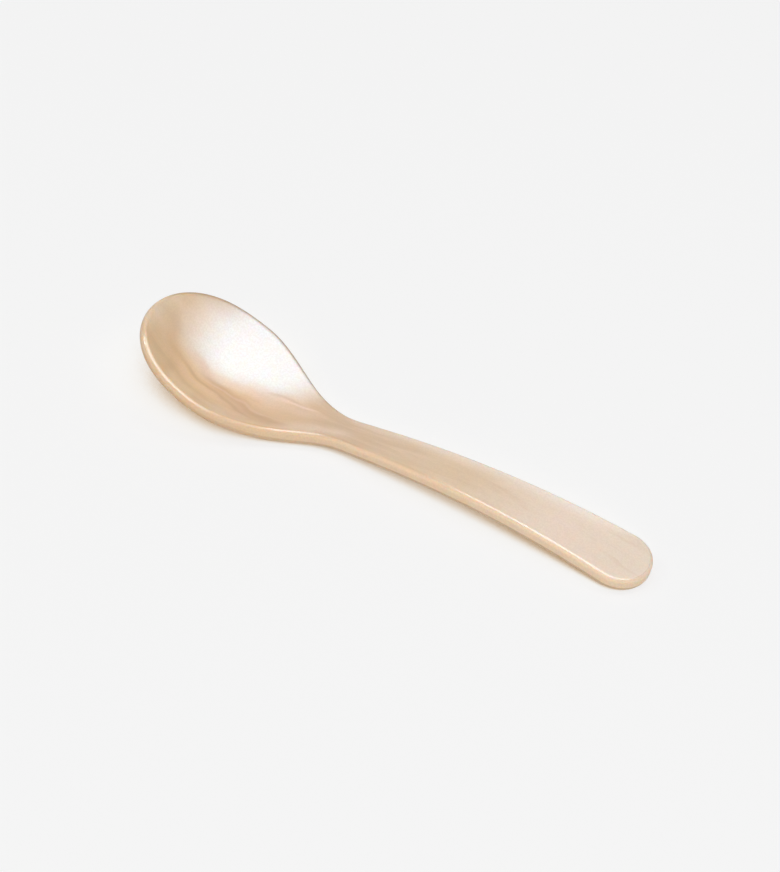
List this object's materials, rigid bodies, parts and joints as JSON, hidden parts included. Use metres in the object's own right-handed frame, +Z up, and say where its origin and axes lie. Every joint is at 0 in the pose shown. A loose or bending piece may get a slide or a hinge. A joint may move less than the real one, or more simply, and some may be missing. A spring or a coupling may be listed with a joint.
{
  "type": "egg spoon",
  "caption": "Small one-piece spoon with an oval tipped-up bowl, a narrow neck and a flat, slightly arched handle with a round end, for eating boiled eggs.",
  "frame": {"origin": "middle of the spoon's box seen from above, on the surface that the spoon stands on", "axes": "+X from the bowl's tip to the handle's end, +Z up, out of the open bowl"},
  "size_m": [0.1254, 0.0308, 0.0174],
  "materials": {
    "pearl": "pearlescent cream and beige, satin gloss, slightly translucent"
  },
  "bodies": {
    "root": {"spoon": "pearl"}
  },
  "joints": []
}
